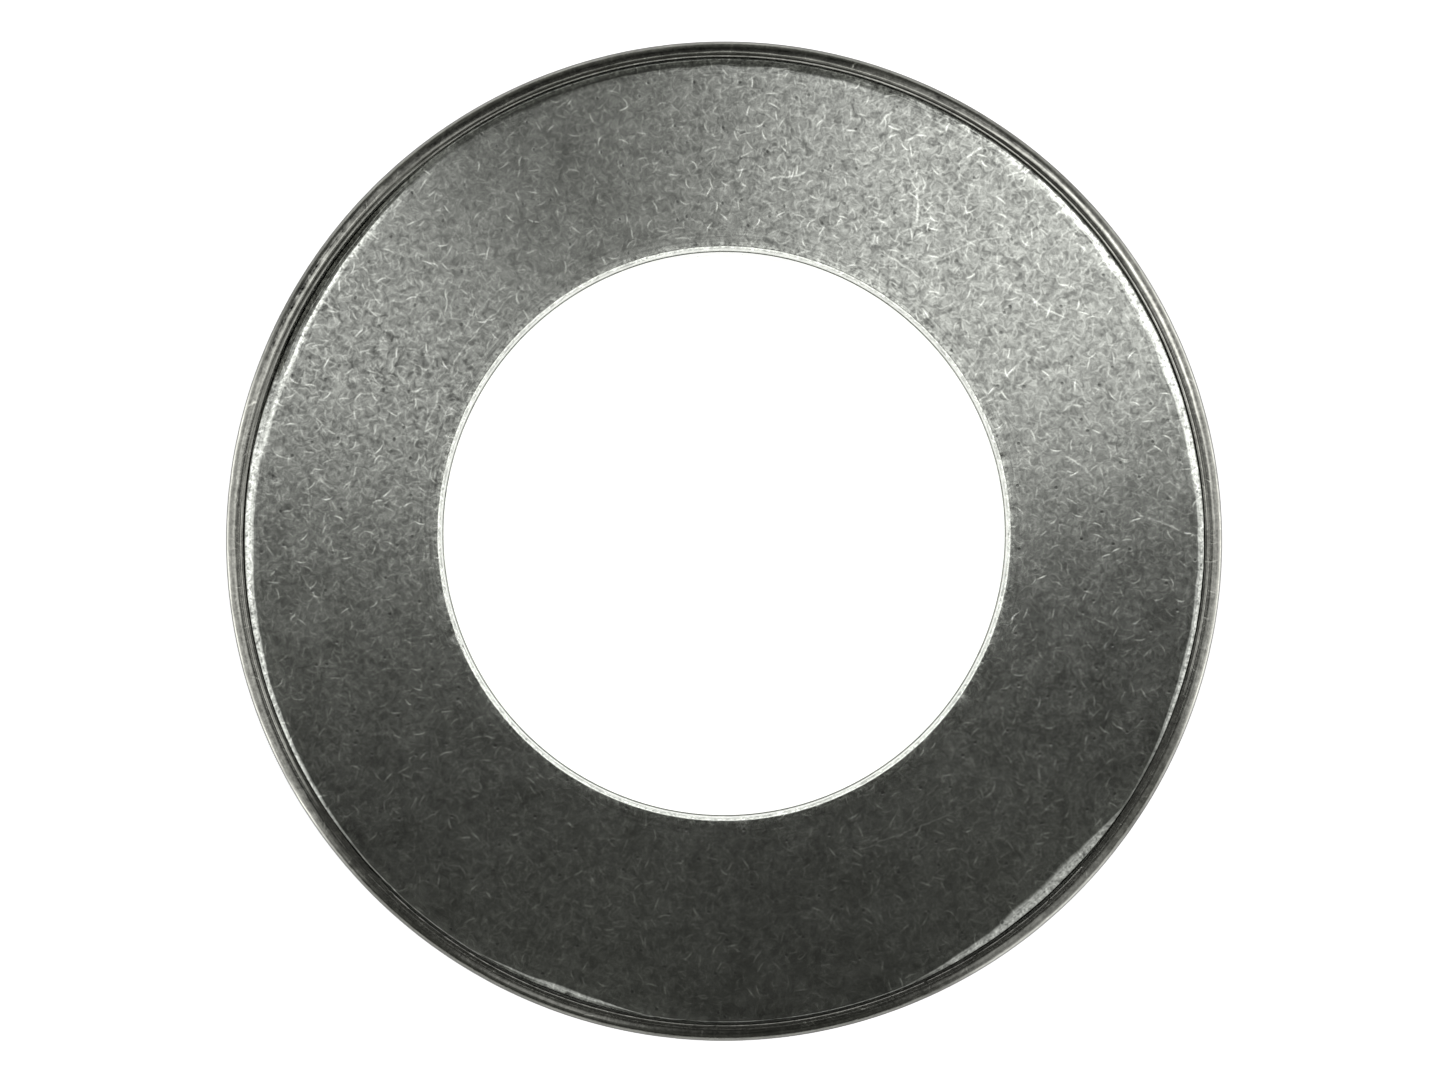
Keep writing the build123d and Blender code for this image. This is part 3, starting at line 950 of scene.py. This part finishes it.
def place_all():
    """The three remade pieces, then the steel of the pieces that keep their CAD mesh."""
    face_steel = tumbled_steel("washer_steel_face", seed=1, deep=True)
    washer_steel = tumbled_steel("washer_steel_tumbled", seed=7)
    band_steel = rolled_band("band_steel_rolled", seed=20)
    cage_steel = hidden_steel("cage_steel_pressed", (0.42, 0.415, 0.395), roughness=0.34, grain_cells=3.0,
                              darkest=0.84, bump_strength=0.4)
    ball_steel = hidden_steel("ball_steel_polished", (0.72, 0.73, 0.73), roughness=0.10, grain_cells=5.0,
                              darkest=0.94, bump_strength=0.12)
    place_piece(make_shaft_washer(), "shaft_side", "shaft_washer", face_steel)
    place_piece(make_housing_washer(), "housing", "housing_washer", washer_steel)
    place_piece(make_band(), "housing", "outer_band", band_steel)
    for node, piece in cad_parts.items():
        if node in REMADE:
            continue
        for slot in piece.material_slots:
            slot.material = cage_steel if node == "ball_cage" else ball_steel


# -------- floor

# Sizes and distances from the axis in metres.
FLOOR_HALF = 3.0          # half the width of the floor
FLOOR_GAP = 0.00002       # the floor lies this far under the bearing
GLOW_FADE = (0.090, 0.140)        # the glow fades out between these
GLOW_EDGE = (0.041, 0.052)        # and is dimmed inside these, close to the band
BORE_GLOW_EDGE = (0.018, 0.026)   # between the glow in the bore and the glow outside
GLOW_FAR = 0.08           # share of the glow left beyond the fade
GLOW_CLOSE = 0.10         # share of it close to the band
FLOOR_SEEN = 0.76         # glow that the camera sees outside the bore; inside it is 1

# Glow of the floor round the bearing by azimuth; inside the bore it is even.
FLOOR_GLOW = [
    (0, 1.3), (26, 1.3), (42, 0.25), (90, 0.30), (130, 0.30), (154, 0.20), (164, 1.3), (212, 1.3),
    (226, 0.16), (296, 0.16), (302, 0.9), (318, 0.9), (324, 0.20), (334, 0.8), (342, 1.4),
]
GLOW_IN_BORE = 1.35


def make_floor():
    """A plain pale floor, whose uneven glow only the steel reflects; the camera sees it plain."""
    mesh = bpy.data.meshes.new("floor")
    corners = [(x * FLOOR_HALF, y * FLOOR_HALF, 0) for x, y in ((-1, -1), (1, -1), (1, 1), (-1, 1))]
    mesh.from_pydata(corners, [], [(0, 1, 2, 3)])
    floor = bpy.data.objects.new("floor", mesh)
    floor.location.z = -FLOOR_GAP
    bpy.context.scene.collection.objects.link(floor)
    material = bpy.data.materials.new("floor_pale")
    material.use_nodes = True
    n = Nodes(material.node_tree)
    shader = material.node_tree.nodes["Principled BSDF"]
    n.put(shader.inputs["Base Color"], (0.8, 0.8, 0.8, 1))
    n.put(shader.inputs["Roughness"], 0.9)
    n.put(shader.inputs["Specular IOR Level"], 0.0)
    n.put(shader.inputs["Emission Color"], (1, 1, 1, 1))
    place = n.add("ShaderNodeTexCoord").outputs["Object"]
    x, y, _ = n.split(place)
    from_axis = n.vector("LENGTH", place)
    near = n.times(n.remap(from_axis, *GLOW_FADE, 1.0, GLOW_FAR, smooth=True),
                   n.remap(from_axis, *GLOW_EDGE, GLOW_CLOSE, 1.0, smooth=True))
    outside = n.times(n.around(x, y, FLOOR_GLOW), near)
    glow = n.remap(from_axis, *BORE_GLOW_EDGE, GLOW_IN_BORE, outside, smooth=True)
    plain = n.remap(from_axis, *BORE_GLOW_EDGE, 1.0, FLOOR_SEEN)
    seen = n.add("ShaderNodeLightPath").outputs["Is Camera Ray"]
    strength = n.plus(n.times(glow, n.minus(1.0, seen)), n.times(plain, seen))
    n.put(shader.inputs["Emission Strength"], strength)
    mesh.materials.append(material)


# -------- light

# Brightness of the studio by azimuth in degrees from +X: overhead, part way down, lower down and near
# the horizon.
SKY_HIGH = [
    (0, 0.0), (8, 0.12), (16, 0.60), (24, 1.68), (34, 1.42), (46, 1.14), (60, 1.56), (74, 1.10), (88, 0.50),
    (100, 0.31), (112, 0.0), (124, 0.08), (134, 0.93), (142, 0.99), (150, 0.99), (158, 1.30), (166, 0.64),
    (178, 0.02), (192, 0.20), (206, 0.02), (225, 0.05), (250, 0.10), (275, 0.03), (300, 0.06), (320, 0.10),
    (336, 0.05), (350, 0.05),
]
SKY_MID = [
    (0, 1.0), (12, 2.3), (26, 3.0), (48, 2.6), (58, 1.4), (68, 0.30), (80, 0.06), (132, 0.06),
    (136, 1.0), (140, 1.9), (146, 2.2), (152, 2.2), (166, 1.9), (182, 1.7), (196, 1.4), (210, 0.6),
    (220, 0.06), (238, 0.06), (246, 1.0), (255, 1.0), (262, 0.04), (294, 0.05), (300, 0.75), (318, 0.75),
    (324, 0.08), (332, 0.30), (342, 0.75), (350, 0.90),
]
SKY_SIDE = [
    (0, 1.2), (28, 1.2), (44, 0.36), (60, 0.14), (90, 0.22), (130, 0.22), (150, 0.20), (162, 1.1), (212, 1.2),
    (224, 0.10), (250, 0.14), (270, 0.10), (296, 0.12), (302, 0.60), (318, 0.60), (324, 0.20), (334, 0.40),
    (342, 1.2),
]
SKY_LOW = [
    (0, 1.1), (28, 1.1), (42, 0.35), (56, 0.14), (80, 0.20), (130, 0.22), (150, 0.12), (162, 0.9), (176, 1.0),
    (212, 1.0), (222, 0.08), (292, 0.06), (300, 0.5), (318, 0.5), (324, 0.08), (334, 0.4), (342, 1.2),
]
# Where one list gives way to the next: heights in the sky, as the sine of the elevation.
OVERHEAD = (0.86, 0.94)
LOWER_DOWN = (0.56, 0.68)
HORIZON = (0.20, 0.32)
# Dim parts of the studio are slightly green, bright ones are white.
DIM_TINT = (0.98, 1.0, 0.90, 1)
WHITE = (1, 1, 1, 1)


def make_world():
    """Soft studio light all round, uneven as the steel shows it; the camera sees plain white."""
    world = bpy.data.worlds.new("studio")
    bpy.context.scene.world = world
    world.use_nodes = True
    world.node_tree.nodes.clear()
    n = Nodes(world.node_tree)
    x, y, z = n.split(n.add("ShaderNodeTexCoord").outputs["Generated"])

    def blend(share, a, b):
        return n.plus(n.times(a, share), n.times(b, n.minus(1.0, share)))

    overhead = n.remap(z, *OVERHEAD, 0.0, 1.0, smooth=True)
    lower_down = n.remap(z, *LOWER_DOWN, 1.0, 0.0, smooth=True)
    horizon = n.remap(z, *HORIZON, 1.0, 0.0, smooth=True)
    level = blend(overhead, n.around(x, y, SKY_HIGH), n.around(x, y, SKY_MID))
    level = blend(lower_down, n.around(x, y, SKY_SIDE), level)
    level = blend(horizon, n.around(x, y, SKY_LOW), level)
    light = n.add("ShaderNodeBackground")
    n.put(light.inputs["Color"], n.mix(n.remap(level, 0.0, 0.5, 0.0, 1.0), DIM_TINT, WHITE))
    n.put(light.inputs["Strength"], level)
    plain = n.add("ShaderNodeBackground")
    n.put(plain.inputs["Color"], WHITE)
    choose = n.add("ShaderNodeMixShader")
    n.put(choose.inputs[0], n.add("ShaderNodeLightPath").outputs["Is Camera Ray"])
    n.put(choose.inputs[1], light.outputs[0])
    n.put(choose.inputs[2], plain.outputs[0])
    n.put(n.add("ShaderNodeOutputWorld").inputs["Surface"], choose.outputs[0])


# -------- camera

SENSOR_W = 36.0           # mm
LENS = 49.827             # mm
SHIFT_Y = -0.1174         # the picture's shift, as a share of its width
CAMERA_X = -0.0001        # metres
CAMERA_DISTANCE = 0.12393
LEAN_DEG = 0.7            # from the bore's axis to the camera
TILT_DEG = 5.2            # of the picture plane


def make_camera():
    """The photograph's viewing angle, almost along the bore's axis."""
    data = bpy.data.cameras.new("camera")
    data.sensor_width = SENSOR_W
    data.lens = LENS
    data.shift_y = SHIFT_Y
    data.clip_start = 0.005
    data.clip_end = 10
    camera = bpy.data.objects.new("camera", data)
    bpy.context.scene.collection.objects.link(camera)
    lean = math.radians(LEAN_DEG)
    camera.location = (
        CAMERA_X,
        -CAMERA_DISTANCE * math.sin(lean),
        HEIGHT * MM + CAMERA_DISTANCE * math.cos(lean),
    )
    camera.rotation_euler = (math.radians(TILT_DEG), 0, 0)
    bpy.context.scene.camera = camera


place_all()
make_floor()
make_world()
make_camera()
bpy.context.scene.view_settings.view_transform = "Standard"
